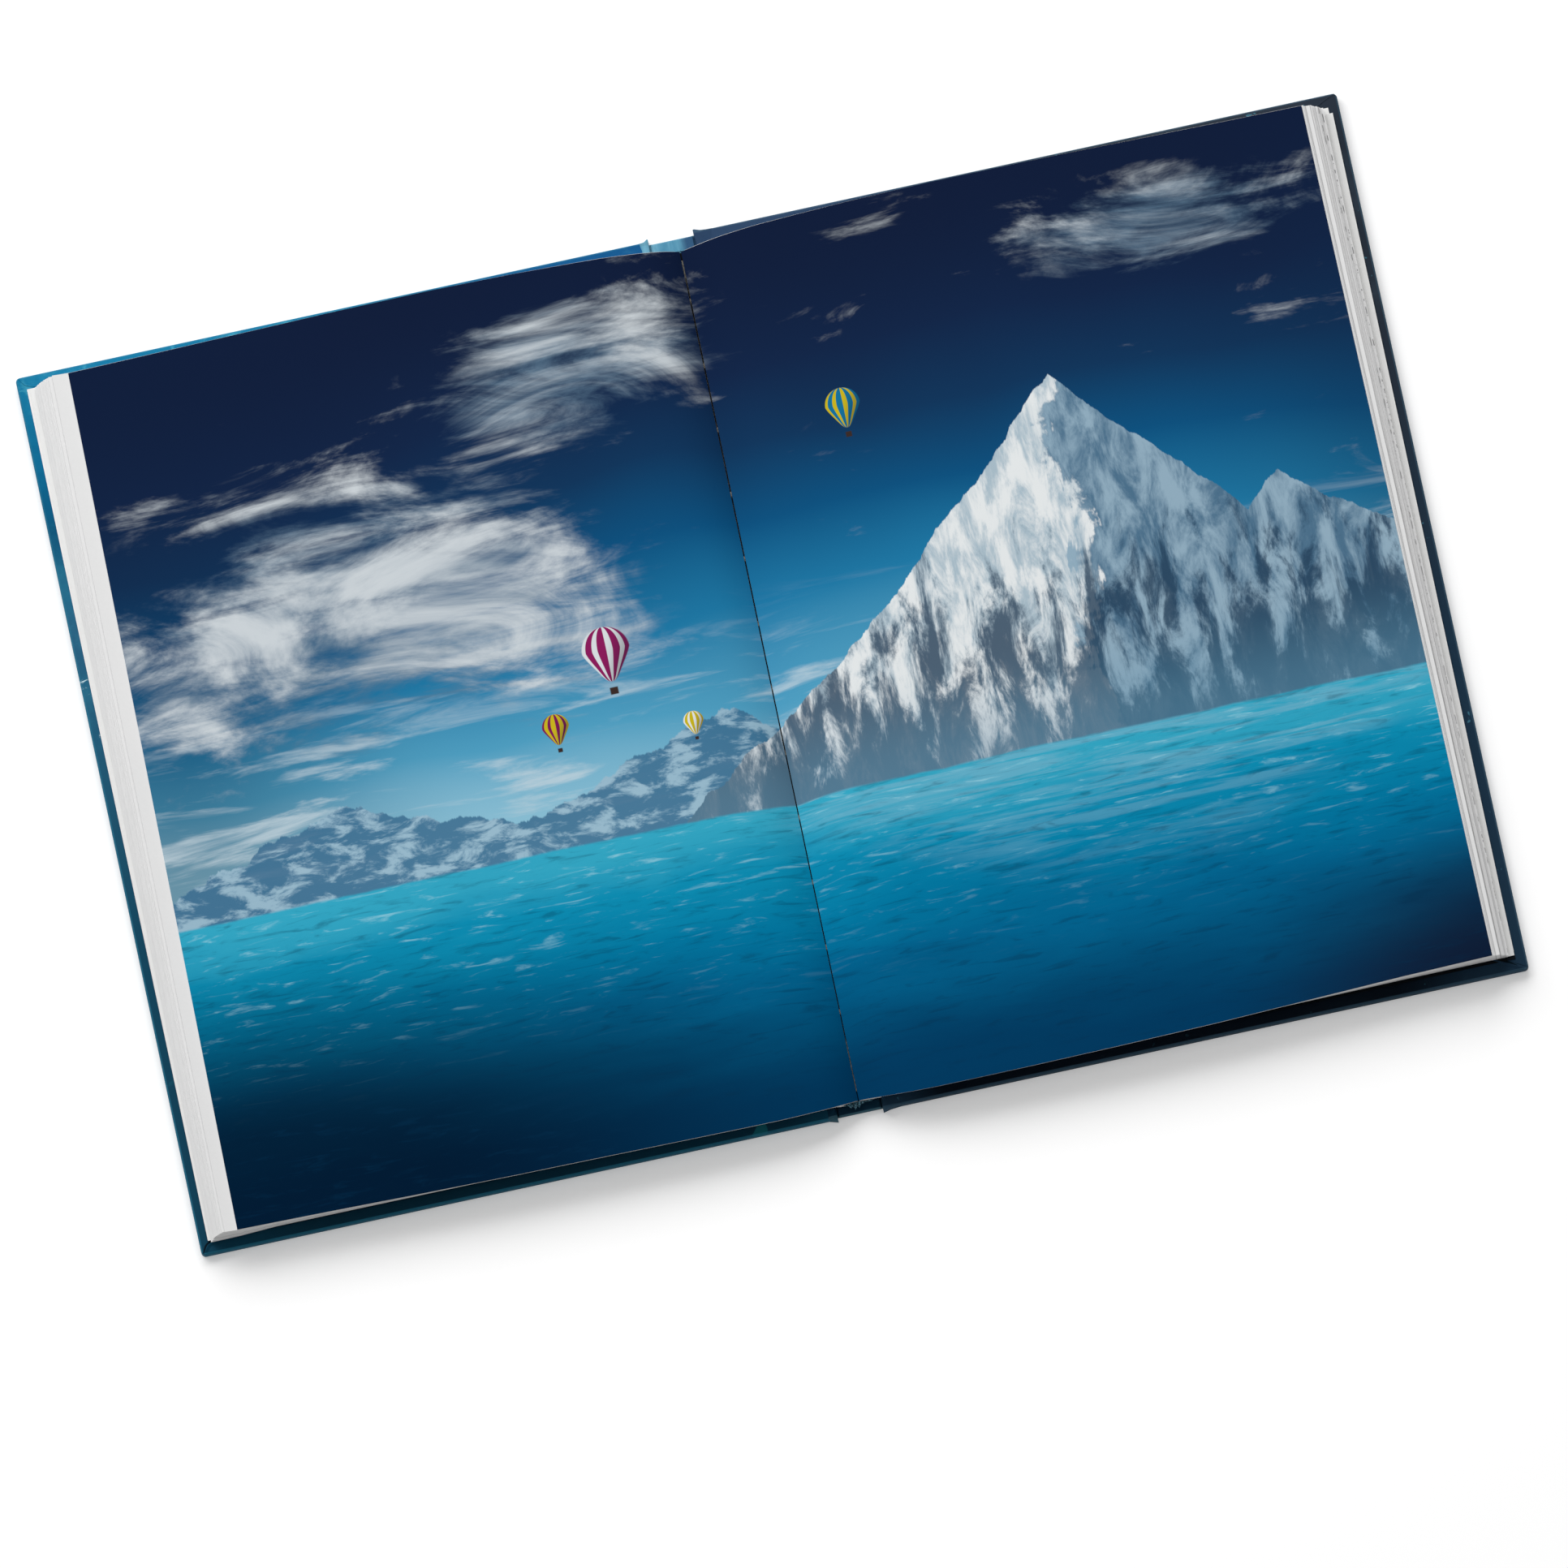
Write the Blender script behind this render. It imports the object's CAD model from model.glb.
"""An open hardcover picture book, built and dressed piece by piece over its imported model."""

import logging
import math
import random
from dataclasses import dataclass
from enum import Enum
from typing import Callable, Sequence

import bpy
from mathutils import Matrix, Vector


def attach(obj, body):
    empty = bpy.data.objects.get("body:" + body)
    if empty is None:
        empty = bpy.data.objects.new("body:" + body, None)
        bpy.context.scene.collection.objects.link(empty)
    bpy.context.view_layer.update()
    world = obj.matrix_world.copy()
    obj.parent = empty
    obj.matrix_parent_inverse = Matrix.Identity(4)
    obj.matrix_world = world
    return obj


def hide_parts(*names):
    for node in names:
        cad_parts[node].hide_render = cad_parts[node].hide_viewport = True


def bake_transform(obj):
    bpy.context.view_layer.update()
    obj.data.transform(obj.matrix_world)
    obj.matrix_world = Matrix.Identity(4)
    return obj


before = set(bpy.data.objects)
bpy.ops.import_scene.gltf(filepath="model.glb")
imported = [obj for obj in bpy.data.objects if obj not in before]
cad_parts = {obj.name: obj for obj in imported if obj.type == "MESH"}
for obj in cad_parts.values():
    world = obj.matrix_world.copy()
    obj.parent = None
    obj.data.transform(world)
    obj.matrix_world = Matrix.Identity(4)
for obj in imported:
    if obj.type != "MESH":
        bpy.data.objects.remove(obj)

LOG = logging.getLogger("picture_book")
MM = 0.001

Piece = bpy.types.Object
Material = bpy.types.Material
Point = tuple[float, float, float]
Line = Sequence[tuple[float, float]]


class Side(Enum):
    """The two halves of the open book, as seen by a reader."""

    LEFT = -1
    RIGHT = 1


def linear(code: str) -> tuple[float, float, float, float]:
    """Turn a colour code, "#rrggbb", into the linear colour and alpha that shaders take."""
    parts = [int(code[i : i + 2], 16) / 255 for i in (1, 3, 5)]
    r, g, b = (v / 12.92 if v <= 0.04045 else ((v + 0.055) / 1.055) ** 2.4 for v in parts)
    return (r, g, b, 1.0)


def along(points: Line, x: float) -> float:
    """Read a broken line of (x, value) points, by rising x, at x and level past its ends."""
    if x <= points[0][0]:
        return points[0][1]
    for (x0, v0), (x1, v1) in zip(points, points[1:]):
        if x <= x1:
            return v0 + (v1 - v0) * (x - x0) / (x1 - x0)
    return points[-1][1]


class Bench:
    """Mesh work done with Blender's own operators, one piece at a time."""

    @staticmethod
    def clear() -> None:
        """Leave edit mode and let go of everything."""
        if bpy.context.object is not None and bpy.context.object.mode != "OBJECT":
            Bench.leave()
        bpy.ops.object.select_all(action="DESELECT")

    @staticmethod
    def leave() -> None:
        """Leave edit mode."""
        bpy.ops.object.mode_set(mode="OBJECT")

    @staticmethod
    def edit(kind: str = "", action: str = "SELECT") -> None:
        """Go into edit mode, for one kind of element if named, and select or let go of all."""
        bpy.ops.object.mode_set(mode="EDIT")
        if kind:
            bpy.ops.mesh.select_mode(type=kind)
        bpy.ops.mesh.select_all(action=action)

    @staticmethod
    def named(name: str) -> Piece:
        """Settle the new piece's place into its mesh and name both."""
        piece = bpy.context.object
        bpy.ops.object.transform_apply(location=True, rotation=True, scale=True)
        piece.name = name
        piece.data.name = name
        return piece

    @staticmethod
    def block(name: str, low: Point, high: Point) -> Piece:
        """Add a cuboid between two corners given in millimetres."""
        Bench.clear()
        centre = [(a + b) / 2 * MM for a, b in zip(low, high)]
        size = [(b - a) * MM for a, b in zip(low, high)]
        bpy.ops.mesh.primitive_cube_add(size=1, location=centre, scale=size)
        return Bench.named(name)

    @staticmethod
    def pick_faces(piece: Piece, wanted: Callable[[Vector, Vector], bool]) -> None:
        """Select the faces whose centre (mm) and normal pass a test."""
        Bench.leave()
        for item in (*piece.data.vertices, *piece.data.edges):
            item.select = False
        for face in piece.data.polygons:
            face.select = wanted(face.center / MM, face.normal)
        bpy.ops.object.mode_set(mode="EDIT")
        bpy.ops.mesh.select_mode(type="FACE")

    @staticmethod
    def pick_edges(piece: Piece, wanted: Callable[[Vector, Vector], bool]) -> None:
        """Select the edges whose two ends (mm) pass a test."""
        Bench.edit("EDGE", "DESELECT")
        Bench.leave()
        mesh = piece.data
        for edge in mesh.edges:
            a, b = (mesh.vertices[i].co / MM for i in edge.vertices)
            edge.select = wanted(a, b)
        bpy.ops.object.mode_set(mode="EDIT")

    @staticmethod
    def trail(points: Sequence[Point]) -> None:
        """In edit mode, extrude one point from place to place (mm) into a chain of edges."""
        bpy.ops.mesh.select_mode(type="VERT")
        bpy.ops.mesh.primitive_plane_add(size=0.001, location=[v * MM for v in points[0]])
        bpy.ops.mesh.merge(type="CENTER")
        for a, b in zip(points, points[1:]):
            step = [(q - p) * MM for p, q in zip(a, b)]
            bpy.ops.mesh.extrude_region_move(TRANSFORM_OT_translate={"value": step})

    @staticmethod
    def skin(name: str, trails: Sequence[Sequence[Point]], cuts: int = 0) -> Piece:
        """Draw chains of edges and bridge each to the next into one open sheet.

        Args:
            name: The new piece's name.
            trails: Two or more chains with the same number of points.
            cuts: Extra rows between two neighbouring chains.

        Returns:
            The sheet, its normals not yet set.
        """
        Bench.clear()
        bpy.ops.mesh.primitive_plane_add(size=0.001, location=[v * MM for v in trails[0][0]])
        piece = Bench.named(name)
        Bench.edit()
        bpy.ops.mesh.delete(type="VERT")
        for chain in trails:
            Bench.trail(chain)
        Bench.edit("EDGE")
        bpy.ops.mesh.bridge_edge_loops(number_cuts=cuts, interpolation="LINEAR")
        Bench.leave()
        return piece

    @staticmethod
    def face_up(piece: Piece) -> None:
        """Turn an open sheet so that its faces look up."""
        if sum(f.normal.z * f.area for f in piece.data.polygons) < 0:
            Bench.edit()
            bpy.ops.mesh.flip_normals()
            Bench.leave()

    @staticmethod
    def thicken(piece: Piece, thick: float, group: str = "") -> None:
        """Thicken an open sheet downwards (mm), scaled by a vertex group if named, rim in slot 1."""
        solid = piece.modifiers.new("thickness", "SOLIDIFY")
        solid.thickness = thick * MM
        solid.offset = -1
        solid.use_even_offset = False
        solid.material_offset_rim = 1
        if group:
            solid.vertex_group = group
            solid.thickness_vertex_group = 0.1
        bpy.context.view_layer.objects.active = piece
        bpy.ops.object.modifier_apply(modifier="thickness")

    @staticmethod
    def close(weld: bool) -> None:
        """Close a tube's open ends, after welding the seam of its closed chains if asked."""
        if weld:
            Bench.edit()
            bpy.ops.mesh.remove_doubles(threshold=1e-5)
        Bench.edit("EDGE", "DESELECT")
        bpy.ops.mesh.select_non_manifold(extend=False)
        bpy.ops.mesh.edge_face_add()
        Bench.leave()

    @staticmethod
    def cut(x: float, y: float, across: int, up: int) -> None:
        """Cut the whole piece through a place (mm) by an upright plane, in edit mode."""
        bpy.ops.mesh.select_all(action="SELECT")
        bpy.ops.mesh.bisect(plane_co=(x * MM, y * MM, 0), plane_no=(across, up, 0))

    @staticmethod
    def sink(depth: float) -> None:
        """Press the selected faces down by a depth in millimetres."""
        bpy.ops.mesh.extrude_region_move(TRANSFORM_OT_translate={"value": (0, 0, -depth * MM)})

    @staticmethod
    def bevel(width: float, segments: int) -> None:
        """Round what is selected in edit mode by a width in millimetres."""
        bpy.ops.mesh.bevel(offset=width * MM, segments=segments, profile=0.5)

    @staticmethod
    def finish(piece: Piece, angle: float, *materials: Material) -> Piece:
        """Turn a piece's faces out, smooth its edges up to an angle (degrees) and dress it."""
        Bench.clear()
        piece.select_set(True)
        bpy.context.view_layer.objects.active = piece
        Bench.edit()
        bpy.ops.mesh.remove_doubles(threshold=1e-6)
        bpy.ops.mesh.normals_make_consistent(inside=False)
        Bench.leave()
        bpy.ops.object.shade_smooth_by_angle(angle=math.radians(angle))
        Bench.clear()
        for material in materials:
            piece.data.materials.append(material)
        return piece


class Num:
    """A node's output that reckons like a number: each sum lays one more node."""

    def __init__(self, tree: "Tree", socket: bpy.types.NodeSocket) -> None:
        """Hold an output and the tree it lies in."""
        self.tree = tree
        self.socket = socket

    def __add__(self, other: "Value") -> "Num":
        """Add."""
        return self.tree.math("ADD", self, other)

    def __radd__(self, other: "Value") -> "Num":
        """Add to a plain number."""
        return self.tree.math("ADD", other, self)

    def __sub__(self, other: "Value") -> "Num":
        """Take away."""
        return self.tree.math("SUBTRACT", self, other)

    def __rsub__(self, other: "Value") -> "Num":
        """Take away from a plain number."""
        return self.tree.math("SUBTRACT", other, self)

    def __mul__(self, other: "Value") -> "Num":
        """Multiply."""
        return self.tree.math("MULTIPLY", self, other)

    def __truediv__(self, other: "Value") -> "Num":
        """Divide."""
        return self.tree.math("DIVIDE", self, other)

    def __abs__(self) -> "Num":
        """Drop the sign."""
        return self.tree.math("ABSOLUTE", self)


Value = "Num | bpy.types.NodeSocket | float | str | tuple"
Painted = "tuple[Value, Value, Value]"


class Tree:
    """Lays nodes into one node tree and hands back their outputs."""

    def __init__(self, tree: bpy.types.NodeTree) -> None:
        """Work in this tree."""
        self.tree = tree

    def feed(self, socket: bpy.types.NodeSocket, value: Value) -> None:
        """Link an output into a socket, or set it to a number, a vector or a colour code."""
        if isinstance(value, Num):
            value = value.socket
        if isinstance(value, bpy.types.NodeSocket):
            self.tree.links.new(value, socket)
        elif isinstance(value, str):
            socket.default_value = linear(value)
        else:
            socket.default_value = value

    def node(self, kind: str, **settings: object) -> bpy.types.Node:
        """Add a node and set its options."""
        made = self.tree.nodes.new(kind)
        for key, value in settings.items():
            setattr(made, key, value)
        return made

    def lay(self, node: bpy.types.Node, output: int | str = 0, **inputs: Value) -> Num:
        """Feed a node's inputs, where _ in a name stands for a space, and take one output."""
        for key, value in inputs.items():
            self.feed(node.inputs[key.replace("_", " ")], value)
        return Num(self, node.outputs[output])

    def math(self, operation: str, *numbers: Value) -> Num:
        """Join one or two numbers with a Math node."""
        made = self.node("ShaderNodeMath", operation=operation)
        for socket, value in zip(made.inputs, numbers):
            self.feed(socket, value)
        return Num(self, made.outputs[0])

    def most(self, a: Value, b: Value) -> Num:
        """The larger of two numbers."""
        return self.math("MAXIMUM", a, b)

    def least(self, a: Value, b: Value) -> Num:
        """The smaller of two numbers."""
        return self.math("MINIMUM", a, b)

    def root(self, a: Value) -> Num:
        """The square root of a number."""
        return self.math("SQRT", a)

    def sine(self, a: Value) -> Num:
        """The sine of a number in radians."""
        return self.math("SINE", a)

    def step(self, value: Value, low: Value, high: Value, to: tuple[float, float] = (0.0, 1.0)) -> Num:
        """Rise smoothly from to[0] at low to to[1] at high."""
        made = self.node("ShaderNodeMapRange", interpolation_type="SMOOTHSTEP")
        return self.lay(made, Value=value, From_Min=low, From_Max=high, To_Min=to[0], To_Max=to[1])

    def mix(self, factor: Value, a: Value, b: Value) -> Num:
        """Mix two colours."""
        made = self.node("ShaderNodeMix", data_type="RGBA")
        for index, value in ((0, factor), (6, a), (7, b)):
            self.feed(made.inputs[index], value)
        return Num(self, made.outputs[2])

    def ramp(self, factor: Value, stops: Sequence[tuple[float, str]]) -> Num:
        """Read a colour ramp of (place, colour code) stops."""
        made = self.node("ShaderNodeValToRGB")
        elements = made.color_ramp.elements
        for element, (place, code) in zip(elements, (stops[0], stops[-1])):
            element.position, element.color = place, linear(code)
        for place, code in stops[1:-1]:
            elements.new(place).color = linear(code)
        self.feed(made.inputs[0], factor)
        return Num(self, made.outputs[0])

    def noise(self, vector: Value, scale: Value, detail: float = 6.0, rough: float = 0.55, warp: float = 0.0) -> Num:
        """Fractal noise from 0 to 1 at a point."""
        made = self.node("ShaderNodeTexNoise")
        return self.lay(made, Vector=vector, Scale=scale, Detail=detail, Roughness=rough, Distortion=warp)

    def place(self, vector: Value, turn: float = 0.0, wide: float = 1.0, tall: float = 1.0) -> Num:
        """Turn a pattern's coordinates about Z (degrees) and scale them across and up."""
        made = self.node("ShaderNodeMapping")
        return self.lay(made, Vector=vector, Rotation=(0, 0, math.radians(turn)), Scale=(wide, tall, 1.0))

    def join(self, x: Value, y: Value, z: Value = 0.0) -> Num:
        """Make a vector of three numbers."""
        return self.lay(self.node("ShaderNodeCombineXYZ"), X=x, Y=y, Z=z)

    def split(self, vector: Value) -> tuple[Num, ...]:
        """Take a vector's three numbers apart."""
        made = self.node("ShaderNodeSeparateXYZ")
        self.feed(made.inputs[0], vector)
        return tuple(Num(self, output) for output in made.outputs)

    def spot(self, x: Value, y: Value, at: tuple[float, float], size: tuple[float, float]) -> Num:
        """Distance from a point in units of an upright ellipse's half axes."""
        dx = (x - at[0]) / size[0]
        dy = (y - at[1]) / size[1]
        return self.root(dx * dx + dy * dy)

    def use(self, group: bpy.types.NodeTree, **inputs: Value) -> bpy.types.Node:
        """Place a shared group and feed its named inputs."""
        made = self.node("ShaderNodeGroup", node_tree=group)
        self.lay(made, **inputs)
        return made


class Effects:
    """Node groups that more than one finish uses."""

    def __init__(self) -> None:
        """Build each group once."""
        self.fibre = self._fibre()
        self.laminate = self._laminate()

    @staticmethod
    def _group(name: str, inputs: dict[str, object], outputs: dict[str, str]) -> tuple[Tree, dict, dict]:
        """Make an empty shader node group with named sockets.

        Args:
            name: The group's name.
            inputs: Each input's name and default: a number, a colour code or nothing for a vector.
            outputs: Each output's name and kind.

        Returns:
            Its tree, its inputs to read from and its outputs to feed.
        """
        group = bpy.data.node_groups.new(name, "ShaderNodeTree")
        kinds = {float: "Float", tuple: "Color", type(None): "Vector"}
        for label, default in inputs.items():
            kind = "NodeSocket" + kinds[type(default)]
            socket = group.interface.new_socket(name=label, in_out="INPUT", socket_type=kind)
            if default is not None:
                socket.default_value = default
        for label, kind in outputs.items():
            group.interface.new_socket(name=label, in_out="OUTPUT", socket_type="NodeSocket" + kind)
        tree = Tree(group)
        given = {socket.name: Num(tree, socket) for socket in tree.node("NodeGroupInput").outputs if socket.name}
        end = tree.node("NodeGroupOutput")
        return tree, given, {label: end.inputs[label] for label in outputs}

    def _fibre(self) -> bpy.types.NodeTree:
        """Paper fibre: a fine felt of two noises, as a tint mask and a height."""
        tree, given, end = self._group(
            "paper_fibre", {"Vector": None, "Size": 900.0}, {"Mask": "Float", "Height": "Float"}
        )
        fine = tree.noise(given["Vector"], given["Size"], 3.0, 0.6)
        broad = tree.noise(given["Vector"], given["Size"] * 0.06, 2.0, 0.5)
        tree.feed(end["Mask"], fine * 0.6 + broad * 0.4)
        tree.feed(end["Height"], fine)
        return tree.tree

    def _laminate(self) -> bpy.types.NodeTree:
        """Covering sheet: a mottled print of two colours under a fine embossed grain."""
        tree, given, end = self._group(
            "cover_laminate",
            {"Vector": None, "Deep": linear("#1a3f59"), "Bright": linear("#277c95"), "Mottle": 60.0, "Spread": 0.5},
            {"Color": "Color", "Height": "Float", "Rough": "Float"},
        )
        cloud = tree.noise(given["Vector"], given["Mottle"], 8.0, 0.62, 0.4)
        mask = tree.step(cloud, 0.62 - given["Spread"] * 0.3, 0.78)
        grain = tree.noise(given["Vector"], 1500.0, 2.0, 0.5)
        tree.feed(end["Color"], tree.mix(mask, given["Deep"], given["Bright"]))
        tree.feed(end["Height"], grain)
        tree.feed(end["Rough"], tree.step(grain, 0.3, 0.7, (0.38, 0.52)))
        return tree.tree


@dataclass(frozen=True)
class Finish:
    """A dressed surface: a named material, how glossy it is and how it is painted."""

    name: str
    roughness: float = 0.5
    specular: float = 0.5
    bump: float = 0.0

    # Height of the finish's relief in metres.
    RELIEF = 0.00003

    def paint(self, tree: Tree, point: Num, effects: Effects) -> Painted:
        """Lay the finish's own nodes over a point in the piece's frame: colour, relief, gloss."""
        raise NotImplementedError

    def build(self, effects: Effects) -> Material:
        """Make the material and feed its shader with what the finish paints."""
        material = bpy.data.materials.new(self.name)
        material.use_nodes = True
        tree = Tree(material.node_tree)
        shader = material.node_tree.nodes["Principled BSDF"]
        shader.inputs["Specular IOR Level"].default_value = self.specular
        point = Num(tree, tree.node("ShaderNodeTexCoord").outputs["Object"])
        colour, height, gloss = self.paint(tree, point, effects)
        tree.feed(shader.inputs["Base Color"], colour)
        tree.feed(shader.inputs["Roughness"], gloss)
        relief = tree.lay(tree.node("ShaderNodeBump"), Strength=self.bump, Distance=self.RELIEF, Height=height)
        tree.feed(shader.inputs["Normal"], relief)
        return material


@dataclass(frozen=True)
class PlainPaper(Finish):
    """Uncoated or bare coated stock: leaves, cut edges and endpapers."""

    tone: str = "#f1f1f0"
    shade: str = "#e4e4e2"
    fanned: bool = False
    hem: str = ""

    RELIEF = 0.00004
    # Distance past the printed page, half width, strength, and whether the line is broken.
    SHADES = (
        (0.0013, 0.0002, 0.5, False),
        (0.003, 0.00022, 0.6, False),
        (0.0046, 0.00015, 0.4, False),
        (0.0058, 0.00018, 0.55, True),
        (0.0067, 0.0002, 0.75, True),
    )

    def paint(self, tree: Tree, point: Num, effects: Effects) -> Painted:
        """Lay the fibre, the dark gutter, a hem and, where fanned, the dark between leaves."""
        fibre = tree.use(effects.fibre, Vector=point, Size=700.0)
        colour = tree.mix(fibre.outputs["Mask"], self.tone, self.shade)
        x, y, _ = tree.split(point)
        fold = tree.step(abs(x), 0.004, 0.003) * tree.step(abs(y), 0.1575, 0.1565)
        colour = tree.mix(fold, colour, "#0b1018")
        if self.hem:
            colour = tree.mix(tree.step(y, -0.1576, -0.158), colour, self.hem)
        if self.fanned:
            # Distance beyond the printed page's edge on the right, which runs slightly askew.
            past = x - (0.22645 + y * -0.004055)
            sway = tree.noise(tree.join(0.0, y * 20.0), 1.0, 2.0, 0.5)
            past = past + (sway - 0.5) * 0.0005
            for place, half, share, broken in self.SHADES:
                near = abs(past - place)
                line = tree.step(near, half, half * 0.6, (0.0, share))
                if broken:
                    dash = tree.noise(tree.join(place * 900.0, y * 260.0), 1.0, 3.0, 0.6)
                    line = line * tree.step(dash, 0.5, 0.58)
                colour = tree.mix(line, colour, "#3c3c3e" if broken else "#8e8e8f")
        return colour, fibre.outputs["Height"], self.roughness


@dataclass(frozen=True)
class CoverPaper(Finish):
    """Laminated covering sheet, printed in blues that change from head to foot."""

    head_deep: str = "#04628f"
    head_bright: str = "#3fb3cf"
    foot_deep: str = "#073c54"
    foot_bright: str = "#0e4c68"
    mottle: float = 70.0
    spread: float = 0.5
    specks: bool = False
    rubbed: str = "#2a7590"

    SEA = (
        (0.0, "#0c3e54"), (0.3, "#0d445c"), (0.5, "#1c5068"), (0.66, "#225873"), (0.8, "#285d7b"),
        (0.86, "#236a86"), (0.915, "#034d70"), (0.97, "#00638c"), (1.0, "#0d749c"),
    )

    def paint(self, tree: Tree, point: Num, effects: Effects) -> Painted:
        """Blend the head's print into the foot's, over it clouds or specks, and rub the rim."""
        x, y, _ = tree.split(point)
        wander = tree.noise(point, 9.0, 3.0, 0.5)
        height = y + (wander - 0.5) * 0.12
        head, foot = (
            tree.use(effects.laminate, Vector=point, Deep=deep, Bright=bright, Mottle=mottle, Spread=spread)
            for deep, bright, mottle, spread in (
                (self.head_deep, self.head_bright, self.mottle, self.spread),
                (self.foot_deep, self.foot_bright, self.mottle * 0.5, 0.4),
            )
        )
        colour = tree.mix(tree.step(height, -0.06, 0.08), foot.outputs["Color"], head.outputs["Color"])
        wide = abs(x)
        if self.specks:
            inner = tree.step(wide, 0.16, 0.03) * tree.step(y, 0.1, 0.15)
            colour = tree.mix(inner * 0.8, colour, "#2b4566")
            speck = tree.noise(point, 420.0, 1.0, 0.4)
            colour = tree.mix(tree.step(speck, 0.74, 0.8, (0.0, 0.5)), colour, "#4f8fa6")
        else:
            cloud = tree.noise(tree.place(point, 30.0, 1.0, 1.4), 60.0, 5.0, 0.6, 0.6)
            tall = y + (cloud - 0.5) * 0.03
            colour = tree.mix(0.86, colour, tree.ramp(tree.step(tall, -0.165, 0.165), self.SEA))
            puff = tree.noise(tree.place(point, 15.0, 1.0, 1.2), 95.0, 6.0, 0.62, 0.7)
            puffs = tree.step(puff, 0.56, 0.7) * tree.step(y, 0.125, 0.15)
            colour = tree.mix(puffs * 0.4, colour, "#52b3ca")
            deep = tree.step(wide, 0.13, 0.04) * tree.step(y, 0.12, 0.15)
            colour = tree.mix(deep * 0.75, colour, "#0b4580")
            wave = tree.noise(tree.place(point, 20.0, 1.0, 1.6), 34.0, 2.0, 0.4, 1.2)
            band = tree.step(wave, 0.66, 0.69) * tree.step(y, 0.09, 0.05)
            colour = tree.mix(band * 0.75, colour, "#1a7f8c")
            foam = tree.noise(tree.place(point, 70.0, 1.0, 3.0), 120.0, 4.0, 0.6, 0.8)
            high = tree.step(foam, 0.6, 0.68) * (tree.step(y, 0.02, 0.035) * tree.step(y, 0.07, 0.055))
            colour = tree.mix(high, colour, "#bcd8e0")
        sunk = tree.step(y, -0.12, -0.15) * tree.step(wide, 0.23, 0.19)
        sunk = sunk * tree.step(wide, 0.012, 0.03)
        colour = tree.mix(sunk * (0.85 if self.specks else 0.35), colour, "#00040c")
        rim = tree.most(tree.step(abs(y), 0.16425, 0.16455), tree.step(wide, 0.23815, 0.23845))
        colour = tree.mix(rim * 0.55, colour, self.rubbed)
        return colour, head.outputs["Height"], head.outputs["Rough"]


@dataclass(frozen=True)
class SpinePaper(Finish):
    """The sheet over the spine: sky blue at the head, running to dark blue."""

    def paint(self, tree: Tree, point: Num, effects: Effects) -> Painted:
        """Blend from the front cover's side and head to the dark foot."""
        x, y, z = tree.split(point)
        streaks = tree.place(point, 0.0, 1.0, 0.22)
        pale = tree.use(effects.laminate, Vector=streaks, Deep="#4a88a6", Bright="#7ab4ca", Mottle=160.0, Spread=0.9)
        dark = tree.use(effects.laminate, Vector=point, Deep="#0a2c40", Bright="#163c50", Mottle=60.0, Spread=0.4)
        near = tree.mix(tree.step(x, 0.0, 0.0035), pale.outputs["Color"], "#2f5578")
        far = tree.most(tree.step(x, 0.0035, 0.02), tree.step(y, 0.1, -0.02))
        colour = tree.mix(far, near, dark.outputs["Color"])
        under = tree.step(y, 0.159, 0.1586) * tree.step(y, 0.0, 0.02)
        under = under * (tree.step(z, 0.001, 0.0014) * tree.step(abs(x), 0.005, 0.004))
        colour = tree.mix(under, colour, "#04080c")
        rim = tree.most(tree.step(y, -0.1638, -0.1642), tree.step(y, 0.1635, 0.1639))
        return tree.mix(rim * 0.4, colour, "#5a8a9a"), dark.outputs["Height"], dark.outputs["Rough"]


@dataclass(frozen=True)
class Textile(Finish):
    """Woven band, mull or waxed thread."""

    tone: str = "#7f93a3"
    shade: str = "#566b7c"
    pitch: float = 2500.0
    raised: float = 0.0
    hidden: float = 0.0

    RELIEF = 0.00005

    def paint(self, tree: Tree, point: Num, effects: Effects) -> Painted:
        """Cross two fine waves into a weave."""
        x, y, z = tree.split(point)
        warp = tree.sine(x * (self.pitch * 2))
        weft = tree.sine((y + z) * (self.pitch * 2))
        weave = warp * weft
        worn = tree.noise(point, 600.0, 3.0, 0.6)
        mask = tree.step(weave * 0.3 + worn, 0.2, 0.9)
        if self.raised:
            mask = mask * tree.step(z, self.raised - 0.0003, self.raised)
        colour = tree.mix(mask, self.shade, self.tone)
        if self.hidden:
            colour = tree.mix(tree.step(y, self.hidden, self.hidden - 0.0004), colour, "#04080c")
        return colour, weave, self.roughness


@dataclass(frozen=True)
class Crease(Finish):
    """The dark inside of a tight fold in the covering sheet."""

    def paint(self, tree: Tree, point: Num, effects: Effects) -> Painted:
        """Leave only a trace of the sheet's grain in the dark."""
        fibre = tree.use(effects.fibre, Vector=point, Size=900.0)
        return tree.mix(fibre.outputs["Mask"], "#020a12", "#06202e"), fibre.outputs["Height"], self.roughness


@dataclass(frozen=True)
class Greyboard(Finish):
    """Pressed grey board with flecks."""

    RELIEF = 0.0001

    def paint(self, tree: Tree, point: Num, effects: Effects) -> Painted:
        """Fleck the board."""
        fibre = tree.use(effects.fibre, Vector=point, Size=500.0)
        mask = tree.step(fibre.outputs["Mask"], 0.35, 0.65)
        return tree.mix(mask, "#7d7a73", "#989589"), fibre.outputs["Height"], self.roughness


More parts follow.
